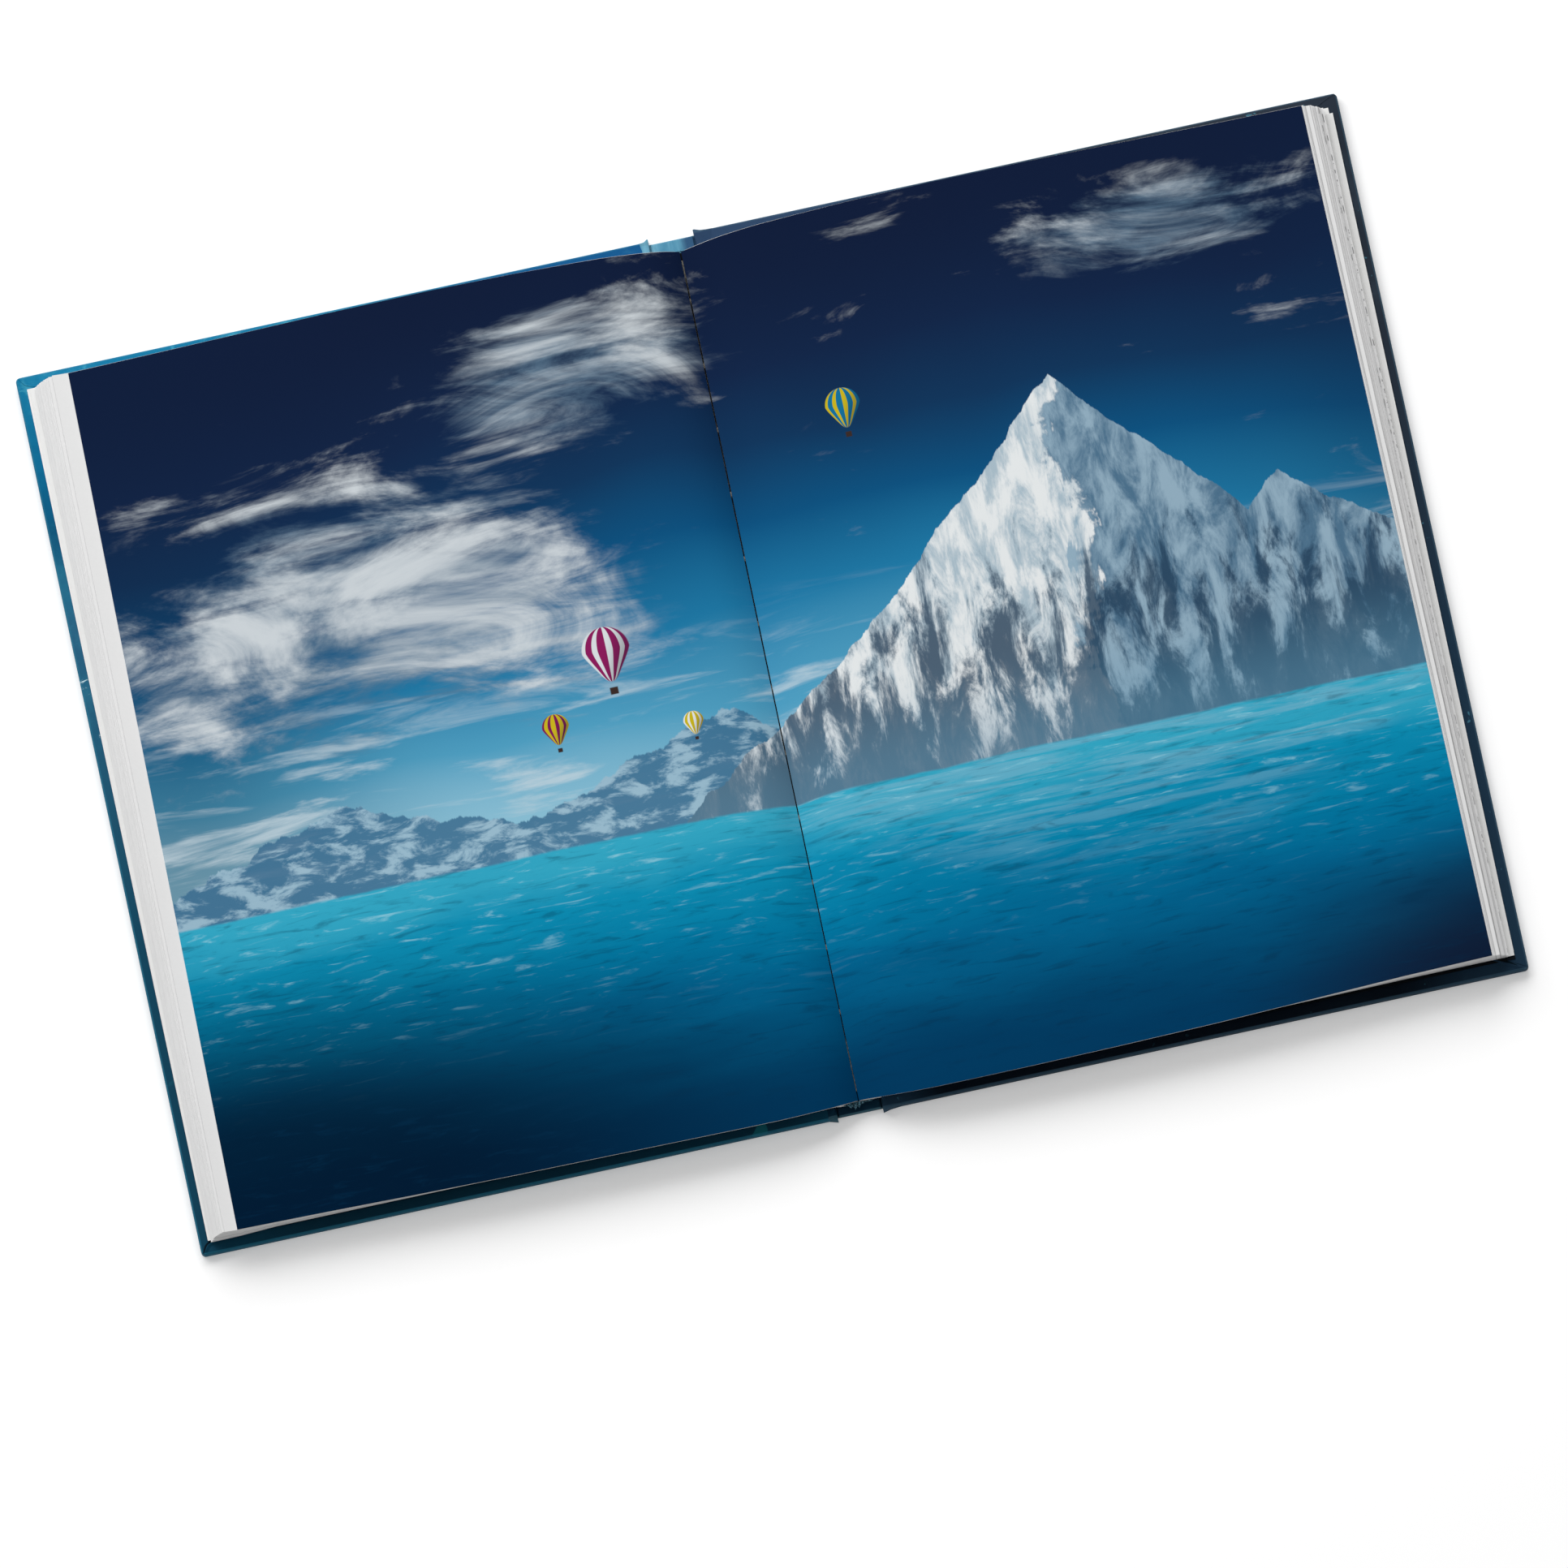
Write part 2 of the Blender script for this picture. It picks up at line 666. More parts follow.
@dataclass(frozen=True)
class SpreadPrint(Finish):
    """The picture printed over both pages: a lake under snow peaks, clouds and small balloons."""

    horizon: float = -0.052

    RELIEF = 0.00002
    # The snow mountain: its summit and the fall of its two sides.
    SUMMIT = ((0.118, 0.083), 0.98, 1.1)
    SKY = (
        (0.0, "#8fc3d8"), (0.1, "#4f9fc2"), (0.26, "#1f79a6"), (0.46, "#0d5280"), (0.66, "#11365c"),
        (0.84, "#122648"), (1.0, "#101d3a"),
    )
    LAKE = (
        (0.0, "#35a9c6"), (0.12, "#0b8eb4"), (0.36, "#0078a2"), (0.62, "#006490"), (0.85, "#005079"),
        (1.0, "#003b62"),
    )
    # Each balloon's middle, half width, colour and stripes.
    BALLOONS = (
        ((-0.055, 0.018), 0.0085, "#8c1c5c", "#d9dfe2"),
        ((-0.078, -0.006), 0.0048, "#c9b51e", "#7c1a55"),
        ((-0.03, -0.014), 0.0036, "#c9b51e", "#e3e6e3"),
        ((0.045, 0.088), 0.0062, "#13719c", "#c9b51e"),
    )

    def paint(self, tree: Tree, point: Num, effects: Effects) -> Painted:
        """Paint sky, clouds, peaks, water and balloons on the flat of the pages."""
        x, y, _ = tree.split(point)
        flat = tree.join(x, y, 0.0)
        sky = self._clouds(tree, flat, x, y, self._sky(tree, flat, x, y))
        sky = self._peaks(tree, flat, x, y, sky)
        water = self._water(tree, flat, x, y)
        shore = self.horizon + tree.noise(tree.join(x, 0.0, 0.3), 30.0, 4.0) * 0.003
        colour = tree.mix(tree.step(y - shore, -0.0006, 0.0006), water, sky)
        colour = self._balloons(tree, x, y, colour)
        fibre = tree.use(effects.fibre, Vector=point, Size=1400.0)
        return colour, fibre.outputs["Height"], self.roughness

    def _sky(self, tree: Tree, flat: Value, x: Value, y: Value) -> Num:
        """Grade the sky from navy at the head to pale blue over the horizon."""
        wander = tree.noise(flat, 6.0, 2.0, 0.5)
        height = y + (wander - 0.5) * 0.05
        base = tree.ramp(tree.step(height, self.horizon, 0.165), self.SKY)
        return tree.mix(tree.step(abs(x - 0.02), 0.12, 0.24, (0.0, 0.45)), base, "#0f1f3d")

    def _clouds(self, tree: Tree, flat: Value, x: Value, y: Value, under: Value) -> Num:
        """Lay a rising bank of cloud over the left page and low streaks over the horizon."""
        body = tree.noise(tree.place(flat, 24.0, 0.62, 1.35), 19.0, 10.0, 0.6, 0.9)
        wisp = tree.noise(tree.place(flat, 35.0, 0.4, 1.9), 34.0, 10.0, 0.66, 1.6)
        near = tree.spot(x, y, (-0.135, 0.045), (0.13, 0.075))
        for at, size in (((-0.05, 0.12), (0.07, 0.035)), ((0.17, 0.13), (0.075, 0.025))):
            near = tree.least(near, tree.spot(x, y, at, size))
        cover = tree.step(near, 1.25, 0.15)
        mask = tree.step(body * 0.62 + wisp * 0.38 + cover * 0.22, 0.58, 0.78)
        colour = tree.mix(tree.step(body, 0.42, 0.66), "#5b7890", "#d3dade")
        result = tree.mix(mask * 0.93, under, colour)
        streak = tree.noise(tree.place(flat, 3.0, 0.5, 3.6), 30.0, 8.0, 0.6, 0.5)
        belt = tree.step(y, -0.055, -0.03) * tree.step(y, 0.035, -0.01)
        low = tree.step(streak, 0.5, 0.7) * belt
        return tree.mix(low * 0.75, result, "#c8d8e0")

    def _ridge(self, tree: Tree, x: Value, peak: tuple[float, float], left: float, right: float) -> Num:
        """Height of one tent-shaped peak over the page."""
        away = x - peak[0]
        west = tree.most(away * -1.0, 0.0) * left
        east = tree.most(away, 0.0) * right
        return peak[1] - (west + east)

    def _peaks(self, tree: Tree, flat: Value, x: Value, y: Value, under: Value) -> Num:
        """Stand a far blue range and a near snow mountain over the horizon."""
        jag = tree.noise(tree.join(x, 0.0, 0.7), 55.0, 7.0, 0.62) - 0.5
        far = tree.most(
            self._ridge(tree, x, (-0.02, -0.012), 0.35, 0.5), self._ridge(tree, x, (-0.16, -0.02), 0.3, 0.28)
        )
        far = far + jag * 0.02
        far_mask = tree.step(far - y, -0.0004, 0.0004)
        far_snow = tree.noise(tree.place(flat, 40.0, 1.0, 2.4), 60.0, 8.0, 0.65, 0.4)
        far_colour = tree.mix(tree.step(far_snow, 0.46, 0.6), "#3d6f92", "#9cbcce")
        result = tree.mix(far_mask * 0.9, under, far_colour)
        near = self._ridge(tree, x, *self.SUMMIT)
        for peak, left, right in (((0.06, 0.022), 0.72, 1.0), ((0.19, 0.03), 0.9, 0.75)):
            near = tree.most(near, self._ridge(tree, x, peak, left, right))
        near = near + jag * 0.016
        near_mask = tree.step(near - y, -0.0003, 0.0003)
        side = x - (self.SUMMIT[0][0] + (tree.noise(tree.join(0.2, y), 24.0, 5.0, 0.6) - 0.5) * 0.06)
        folds = tree.noise(tree.place(flat, -52.0, 2.4, 0.75), 42.0, 10.0, 0.68, 0.5)
        cross = tree.noise(tree.place(flat, 48.0, 2.2, 0.8), 36.0, 10.0, 0.66, 0.5)
        lit = tree.mix(tree.step(folds, 0.42, 0.6), "#a9bdc9", "#e6eaeb")
        dim = tree.mix(tree.step(cross, 0.4, 0.62), "#4d718c", "#92aec0")
        snow = tree.mix(tree.step(side + (cross - 0.5) * 0.05, -0.002, 0.002), lit, dim)
        rock = tree.step(y * 2.6 + (folds * 0.7 + cross * 0.5), 0.63, 0.5)
        colour = tree.mix(rock * 0.85, snow, "#24405a")
        colour = tree.mix(tree.step(y, -0.01, self.horizon, (0.0, 0.45)), colour, "#5d93b0")
        return tree.mix(near_mask, result, colour)

    def _water(self, tree: Tree, flat: Value, x: Value, y: Value) -> Num:
        """Grade the lake from bright teal to deep navy, with ripples and the peak's reflection."""
        ripple = tree.noise(tree.place(flat, 0.0, 1.0, 7.0), 55.0, 7.0, 0.62, 0.6)
        swell = tree.noise(tree.place(flat, 4.0, 0.6, 2.6), 20.0, 5.0, 0.55, 0.4)
        depth = self.horizon - y
        moved = depth + (swell - 0.5) * 0.03
        base = tree.ramp(tree.step(moved, -0.004, 0.108), self.LAKE)
        for at, size, share, code in (
            ((-0.235, -0.165), (0.27, 0.11), 0.9, "#00152c"),
            ((0.25, -0.18), (0.13, 0.085), 0.85, "#10142a"),
        ):
            base = tree.mix(tree.step(tree.spot(x, y, at, size), 1.0, 0.3, (0.0, share)), base, code)
        mirrored = self.horizon + depth * 1.9
        moved_x = x + (ripple - 0.5) * 0.016
        image = self._ridge(tree, moved_x, *self.SUMMIT)
        image_mask = tree.step(image - mirrored, -0.01, 0.03, (0.0, 0.5))
        broken = tree.noise(tree.place(flat, 0.0, 0.5, 9.0), 26.0, 6.0, 0.65, 0.8)
        broken = tree.step(broken, 0.42, 0.6) * tree.step(depth, 0.06, 0.0)
        image_mask = image_mask * broken
        base = tree.mix(image_mask, base, "#7fb6cc")
        glint = tree.step(ripple, 0.56, 0.72) * tree.step(depth, 0.075, 0.0, (0.0, 0.55))
        base = tree.mix(glint, base, "#a7dbe8")
        return tree.mix(tree.step(ripple, 0.48, 0.3, (0.0, 0.4)), base, "#04304f")

    def _balloons(self, tree: Tree, x: Value, y: Value, under: Value) -> Num:
        """Hang small striped balloons in the sky, each with a tapering neck and a basket."""
        result = under
        for at, size, main, stripe in self.BALLOONS:
            dx = (x - at[0]) / size
            dy = (y - at[1]) / size
            below = tree.most(dy * -1.0, 0.0)
            narrow = 1.0 - below * 0.33
            across = dx / narrow
            tall = dy * (1.0 - tree.step(below, 0.0, 1.4, (0.0, 0.28)))
            reach = tree.root(across * across + tall * tall)
            body = tree.step(reach, 1.03, 0.97)
            curve = across / tree.root(tree.most(1.03 - tall * tall, 0.05))
            bands = tree.sine(curve * (1.0 + abs(curve * 0.35)) * 9.0)
            colour = tree.mix(tree.step(bands, 0.1, 0.35), main, stripe)
            shade = tree.step(across - dy * 0.4, -0.2, 1.1, (0.0, 0.55))
            colour = tree.mix(shade, colour, "#0c1c33")
            result = tree.mix(body, result, colour)
            wide = abs(dx)
            basket = tree.step(wide, 0.2, 0.14) * (tree.step(dy, -1.98, -1.93) * tree.step(dy, -1.62, -1.67))
            result = tree.mix(basket, result, "#3b2c28")
        return result


@dataclass
class Leaves:
    """The block's leaves in one half of the open book, fanned at the fore edge."""

    side: Side
    count: int = 26
    low: float = 4.4
    back: float = 3.2
    gutter_z: float = 5.2
    foot_y: float = -160.9
    head_y: float = 159.7
    spread_width: float = 7.2
    rows: int = 6
    smooth: float = 30.0
    page_thick: float = 0.13

    # Places along a leaf from the spine, on a page FLAT wide, before its last two.
    STATIONS = (
        0.0, 0.9, 2.0, 3.3, 5.0, 7.0, 9.5, 12.5, 16.0, 21.0, 28.0, 40.0, 60.0, 90.0, 125.0, 160.0, 190.0, 208.0
    )
    FLAT = 222.0
    LIP = 0.8
    # The share of the block that the plain leaves fill, and how much of its room a leaf fills.
    PLAIN = 0.97
    FULL = 0.86
    # Between these heights the leaves' ends come to stand out.
    ARCH_FROM, ARCH_TO = 5.45, 9.25
    SWELL = {
        Side.LEFT: [
            (0.0, 0.0), (0.0095, 0.166), (0.0245, 0.379), (0.0395, 0.544), (0.0545, 0.651), (0.0695, 0.722),
            (0.099, 0.828), (0.129, 0.899), (0.182, 0.959), (0.273, 1.006), (0.432, 1.053), (0.591, 1.065),
            (0.773, 1.041), (0.909, 1.018), (1.0, 1.0),
        ],
        Side.RIGHT: [
            (0.0, 0.0), (0.0097, 0.1), (0.0194, 0.211), (0.034, 0.378), (0.0486, 0.522), (0.0632, 0.633),
            (0.0778, 0.711), (0.102, 0.8), (0.155, 0.889), (0.265, 0.956), (0.42, 1.011), (0.574, 1.033),
            (0.751, 1.033), (0.906, 1.011), (1.0, 1.0),
        ],
    }
    # Share of the block's height against share of the way back from the lowest leaf.
    FAN = {
        Side.LEFT: [(0.0, 0.0), (0.065, 0.015), (0.47, 0.16), (0.94, 0.45), (0.97, 0.55)],
        Side.RIGHT: [
            (0.0, 0.16), (0.06, 0.16), (0.19, 0.17), (0.2, 0.07), (0.235, 0.07), (0.24, 0.17), (0.56, 0.35),
            (0.57, 0.36), (0.605, 0.36), (0.61, 0.44), (0.9, 0.59), (0.905, 0.61), (0.945, 0.61), (0.95, 0.92),
            (0.97, 0.92),
        ],
    }
    # Leaves that lie back between two groups and leave a dark slit, and how far they lie back.
    SLITS = {Side.LEFT: (0.075,), Side.RIGHT: (0.143, 0.181, 0.367, 0.74, 0.927)}
    SLIT_DEPTH = 1.8
    # How far the leaves' ends stand out (mm) against part of the way from gutter to fore edge.
    FOOT_ARCH = {
        Side.LEFT: [
            (0.0, 3.3), (0.12, 3.6), (0.3, 3.1), (0.44, 2.7), (0.55, 2.5), (0.7, 1.9), (0.85, 1.1), (1.0, 0.45)
        ],
        Side.RIGHT: [
            (0.0, 3.3), (0.12, 3.6), (0.3, 3.3), (0.44, 2.9), (0.55, 2.5), (0.65, 1.9), (0.85, 0.4), (1.0, -0.25)
        ],
    }
    HEAD_ARCH = [
        (0.0, -1.5), (0.05, -0.9), (0.13, 0.1), (0.26, 1.0), (0.42, 1.4), (0.6, 1.1), (0.78, 0.5), (1.0, 0.0)
    ]
    # How far the lower leaves lie in from the foot, against the same share.
    FOOT_TUCK = {
        Side.LEFT: [(0.0, 0.0), (0.3, 0.5), (0.6, 0.7), (0.93, 0.8), (1.0, 0.1)],
        Side.RIGHT: [(0.0, 0.0), (0.3, 0.6), (0.75, 1.1), (0.88, 1.4), (1.0, 1.4)],
    }
    HEIGHT = {Side.LEFT: 9.25, Side.RIGHT: 9.8}
    RIDGE = {Side.LEFT: 10.4, Side.RIGHT: 9.75}
    # The bare cover beside the lowest leaf and the width of the fan, each at foot and head.
    SQUARE = {Side.LEFT: (4.2, 6.0), Side.RIGHT: (5.5, 5.0)}
    FAN_WIDTH = {Side.LEFT: (10.1, 12.9), Side.RIGHT: (6.3, 8.1)}
    HALF_SPREAD = 238.9

    def gutter(self, t: float) -> float:
        """Where the fold lies across the spread, at t from foot (0) to head (1)."""
        return -1.5 + 1.9 * t

    def fore(self, t: float) -> float:
        """How far from the middle the lowest leaf reaches at t."""
        foot, head = self.SQUARE[self.side]
        return self.HALF_SPREAD - (foot + (head - foot) * t)

    def page(self, t: float) -> float:
        """How far from the middle the top leaf reaches at t."""
        foot, head = self.FAN_WIDTH[self.side]
        return self.fore(t) - (foot + (head - foot) * t)

    def top(self, out: float) -> float:
        """Height of the top leaf at a share of the page's width from the gutter."""
        rise = self.low + self.HEIGHT[self.side] - self.gutter_z
        return self.gutter_z + along(self.SWELL[self.side], out) * rise

    def under(self, x: float) -> float:
        """Height of the block's underside at a distance from the middle."""
        return along([(7.2, self.back), (9.6, self.low - 0.1), (12.7, self.low)], x)

    def profile(self, q: float, t: float, slack: float) -> list[Point]:
        """One leaf's line from the spine to its fore edge.

        Args:
            q: The leaf's place in the block, 0 lowest and 1 on top.
            t: 0 at the foot, 1 at the head.
            slack: How far this leaf's edge strays, in millimetres.

        Returns:
            Its points in millimetres.
        """
        sign = self.side.value
        page = self.page(t)
        y = self.foot_y + (self.head_y - self.foot_y) * t
        width = page - sign * self.gutter(t)
        root = (1 - q) * self.spread_width + 0.18 + 0.1 * t
        places = [root + s * (width - root) / self.FLAT for s in self.STATIONS] + [width - self.LIP]
        if q >= 1:
            points = [self._point(out, width, q, t, y) for out in (*places, width)]
            points.append((points[-1][0] + sign * 0.05, y, points[-1][2]))
        else:
            points = [self._point(out, width, q, t, y) for out in places]
            end = self.fore(t) - along(self.FAN[self.side], q) * (self.fore(t) - page) + slack
            base = points[-1][2]
            lift = self.low + q * (self.RIDGE[self.side] - (0.45 if q < 0.95 and self.side is Side.RIGHT else 0.0))
            for share in (0.5, 1.0):
                points.append((sign * (page + (end - page) * share), y, base + (lift - base) * share))
        return [self._arched(point, t) for point in points]

    def _arched(self, point: Point, t: float) -> Point:
        """Move a leaf's end out where the opened pages arch, more the higher it lies."""
        x, y, z = point
        out = min(1.0, abs(x - self.gutter(t)) / self.page(t))
        up = min(1.1, max(0.0, (z - self.ARCH_FROM) / (self.low + self.ARCH_TO - self.ARCH_FROM)))
        if t < 0.5:
            tuck = along(self.FOOT_TUCK[self.side], out) * max(0.0, 1 - up)
            return (x, y - along(self.FOOT_ARCH[self.side], out) * up + tuck, z)
        shift = along(self.HEAD_ARCH, out)
        return (x, y + (shift * up if shift > 0 else shift), z)

    def _point(self, out: float, width: float, q: float, t: float, y: float) -> Point:
        """A point of leaf q at a distance out from the gutter, on a page of this width."""
        x = self.side.value * self.gutter(t) + out
        low, top = self.under(x), self.top(out / width)
        missing = max(0.0, 1 - out / self.spread_width)
        share = 1.0 if q >= 1 else max(0.0, (q - missing) / (1 - missing)) if missing < 1 else 0.0
        return (self.side.value * x, y, low + share * (top - low))

    def build(self, finish: Material, edge: Material, art: Material) -> list[Piece]:
        """Model every leaf and join the plain ones into one piece.

        Args:
            finish: Bare paper.
            edge: Cut edges of paper.
            art: The printed picture.

        Returns:
            The stack of plain leaves and the printed top leaf.
        """
        name = self.side.name.lower()
        chance = random.Random(11 if self.side is Side.LEFT else 23)
        pitch = self.PLAIN / self.count
        stack: list[Piece] = []
        for k in range(self.count):
            last = k == self.count - 1
            q = (k + 1) * pitch - 0.012 * chance.random() * (not last)
            slack = chance.uniform(-0.12, 0.12)
            if any(abs(q - slit) < pitch / 2 for slit in self.SLITS[self.side]):
                slack = -self.SLIT_DEPTH
            trails = []
            for t in (0.0, 1.0):
                line = self.profile(q, t, slack + chance.uniform(-0.05, 0.05))
                trim = chance.uniform(-0.12, 0.04) if t > 0.5 else chance.uniform(-0.1, 0.1)
                if t > 0.5 and last:
                    trim = 0.14
                if t < 0.5 and self.side is Side.LEFT and q < 0.3:
                    trim -= 0.45
                trails.append([(x, y + trim, z) for x, y, z in line])
            piece = Bench.skin(f"{name}_leaf_{k}", trails, self.rows)
            Bench.face_up(piece)
            self._weigh(piece)
            Bench.thicken(piece, self.HEIGHT[self.side] * pitch * self.FULL, "leaf")
            stack.append(piece)
        Bench.clear()
        for piece in stack:
            piece.select_set(True)
        leaves = stack[0]
        bpy.context.view_layer.objects.active = leaves
        bpy.ops.object.join()
        leaves.name = leaves.data.name = f"{name}_leaves"
        self._dress(leaves, finish, edge)
        Bench.finish(leaves, self.smooth)
        top = Bench.skin(f"{name}_page", [self.profile(1.0, t, 0.0) for t in (0.0, 1.0)], self.rows)
        Bench.face_up(top)
        Bench.thicken(top, self.page_thick)
        self._dress(top, art, edge)
        return [leaves, Bench.finish(top, self.smooth)]

    def _weigh(self, piece: Piece) -> None:
        """Thin a leaf where the block is squeezed towards the spine."""
        group = piece.vertex_groups.new(name="leaf")
        for vertex in piece.data.vertices:
            x = abs(vertex.co.x / MM)
            room = self.top(min(1.0, x / self.FLAT)) - self.under(x)
            crowd = min(1.0, max(0.05, x / self.spread_width))
            weight = room / self.HEIGHT[self.side] / max(crowd, 0.3)
            group.add([vertex.index], max(0.15, min(1.0, weight)), "REPLACE")

    @staticmethod
    def _dress(piece: Piece, face: Material, rim: Material) -> None:
        """Give a piece its face and rim materials by each face's slot number."""
        slots = [polygon.material_index for polygon in piece.data.polygons]
        piece.data.materials.clear()
        for material in (face, rim):
            piece.data.materials.append(material)
        for polygon, index in zip(piece.data.polygons, slots):
            polygon.material_index = min(index, 1)


@dataclass
class Cover:
    """One cover: the board in its folded sheet, with rounded edges and mitred turn-ins."""

    side: Side
    joint: float
    inner: float = 12.7
    outer: float = 238.9
    half_height: float = 165.0
    thick: float = 3.6
    turn_in: float = 15.0
    corner: float = 1.6
    rounding: float = 0.75
    lip: float = 1.2
    pressed: float = 0.4

    # The mitred fold's line, as distances in from the board's fore edge and its end.
    MITRE = {
        Side.RIGHT: (
            (0.8, 0.4), (1.9, 0.9), (3.3, 1.5), (4.8, 2.2), (6.4, 3.1), (8.4, 4.2), (10.4, 5.2), (13.0, 6.4)
        ),
        Side.LEFT: (
            (0.9, 0.5), (1.4, 1.1), (1.9, 1.9), (2.4, 2.7), (3.0, 3.3), (3.9, 3.7), (5.4, 4.2), (8.0, 5.2)
        ),
    }
    # Across that fold: step aside and rise, which both grow with the fold, and a fixed rise.
    RIDGE = (
        (1.3, 0.0, -0.06), (0.55, 0.3, 0.0), (0.2, 0.5, 0.0), (0.0, 0.36, 0.0),
        (-0.1, 0.0, 0.03), (-0.85, 0.0, 0.02), (-0.93, 0.0, -0.06),
    )
    # The joint fold's end: how far past the board's end, how far its crest leans, its rise.
    EAR = ((0.8, 0.0, 0.1), (0.1, 0.15, 0.3), (-1.2, 0.6, 0.35), (-5.0, 1.2, 0.2), (-16.0, 2.2, -0.5))
    FAR = 9.0

    def _named(self, part: str) -> str:
        """Name a part of this cover."""
        return f"{'front' if self.side is Side.LEFT else 'back'}_{part}"

    def _slab(self, part: str, near: float, far: float, half: float, low: float, high: float) -> Piece:
        """Add a cuboid between two distances from the middle of the spread."""
        x0, x1 = sorted((self.side.value * near, self.side.value * far))
        return Bench.block(self._named(part), (x0, -half, low), (x1, half, high))

    def build(self, finish: Material) -> Piece:
        """Model the wrapped board, pressed in where its turn-ins leave it free."""
        piece = self._slab("case", self.inner, self.outer, self.half_height, 0, self.thick)
        sign = self.side.value
        free_from, free_to = self.inner + self.lip, self.outer - self.turn_in
        free_half = self.half_height - self.turn_in

        def at_fore(a: Vector, b: Vector) -> bool:
            """Is this one of the two upright edges at the fore edge?"""
            return all(abs(p.x - sign * self.outer) < 0.01 for p in (a, b)) and abs(a.z - b.z) > 1

        def on_rim(a: Vector, b: Vector) -> bool:
            """Is this an edge of the outline, above or below, away from the spine?"""
            inner = all(abs(p.x - sign * self.inner) < 0.01 for p in (a, b))
            return abs(a.z - b.z) < 0.01 and not inner

        def in_window(centre: Vector, normal: Vector) -> bool:
            """Is this the part of the upper face that the turn-ins leave free?"""
            inside = free_from < abs(centre.x) < free_to
            return normal.z > 0.9 and inside and abs(centre.y) < free_half

        Bench.pick_edges(piece, at_fore)
        Bench.bevel(self.corner, 6)
        Bench.pick_edges(piece, on_rim)
        Bench.bevel(self.rounding, 5)
        for x in (free_from, free_to):
            Bench.cut(sign * x, 0, 1, 0)
        for y in (free_half, -free_half):
            Bench.cut(0, y, 0, 1)
        Bench.pick_faces(piece, in_window)
        Bench.sink(self.pressed)
        return Bench.finish(piece, 40.0, finish)

    def mitre(self, at_head: bool, finish: Material, crease: Material) -> Piece:
        """Model the tucked fold of the sheet that runs from the board's corner under the leaves.

        Args:
            at_head: True for the head corner, False for the foot corner.
            finish: The covering sheet's material.
            crease: The dark inside of the fold.

        Returns:
            The fold, a low ridge with one steep side.
        """
        up = 1 if at_head else -1
        path = self.MITRE[self.side]
        rows: list[list[Point]] = []
        for k, (across, down) in enumerate(path):
            before, after = path[max(0, k - 1)], path[min(len(path) - 1, k + 1)]
            run = Vector((after[0] - before[0], after[1] - before[1])).normalized()
            grown = min(1.0, 0.45 + k / 4) * (0.4 if at_head else 1.0)
            row: list[Point] = []
            for step, rise, fixed in self.RIDGE:
                x = self.outer - (across + run.y * step * grown)
                y = self.half_height - (down - run.x * step * grown)
                row.append((self.side.value * x, up * y, self.thick + rise * grown + fixed))
            rows.append(row)
        piece = Bench.skin(self._named(f"{'head' if at_head else 'foot'}_mitre"), list(zip(*rows)))
        Bench.close(weld=False)
        Bench.finish(piece, 60.0, finish, crease)
        for face in piece.data.polygons:
            middle = face.center / MM
            steep = middle.z < self.thick + 0.18 and face.normal.z > -0.5 and len(face.vertices) == 4
            face.material_index = int(steep and not at_head and self._beside(middle, up) < 0.98)
        return piece

    def _beside(self, place: Vector, up: int) -> float:
        """How far a place lies from the fold's line on its dark side, or FAR on the other side."""
        path = self.MITRE[self.side]
        here = Vector((self.outer - abs(place.x), self.half_height - up * place.y))
        best = self.FAR
        for a, b in zip(path, path[1:]):
            p, run = Vector(a), Vector(b) - Vector(a)
            t = max(0.0, min(1.0, (here - p).dot(run) / run.length_squared))
            gap = here - (p + run * t)
            if gap.length < best:
                best = gap.length if run.x * gap.y - run.y * gap.x > -0.02 else self.FAR
        return best

    def roll(self, finish: Material) -> Piece:
        """Model the sheet's turned-in fold that stands beside the joint, with its raised ends."""
        sign = self.side.value
        j, b = self.joint, self.inner + 0.6
        half, level, span = self.half_height, self.half_height - 0.15, b - j
        ends = [(half + past, lean, rise) for past, lean, rise in self.EAR]
        trails = []
        for y, lean, rise in [(-y, p, r) for y, p, r in ends] + [(0.0, 2.4, -0.9)] + ends[::-1]:
            top = self.thick + rise
            over = max(0.0, abs(y) - level)
            back = math.copysign(level, y) if over else y
            hollow = math.copysign(level + over * 0.3, y) if over else y
            line = [
                (sign * j, y, 0.05),
                (sign * j, y, top * 0.55),
                (sign * (j + lean * 0.3), y, top - 0.25),
                (sign * (j + 0.5 + lean * 0.5), y, top),
                (sign * (j + 0.5 + (span - 0.5) * 0.3), hollow, top - 0.08),
                (sign * (j + span * 0.65), (hollow + 2 * back) / 3, top - 0.15),
                (sign * b, back, self.thick - 0.05),
                (sign * b, back, 0.3),
                (sign * (j + span * 0.4), hollow, 0.02),
            ]
            trails.append(line + line[:1])
        piece = Bench.skin(self._named("joint_fold"), trails)
        Bench.close(weld=True)
        return Bench.finish(piece, 50.0, finish)

    def hinge(self, finish: Material) -> Piece:
        """Model the strip of sheet that bends between the spine and this cover."""
        piece = self._slab("hinge_strip", self.joint - 1.1, self.joint + 0.6, self.half_height - 0.8, 0.02, 1.5)
        Bench.edit()
        bpy.ops.mesh.subdivide(number_cuts=9)
        Bench.leave()
        return Bench.finish(piece, 60.0, finish)


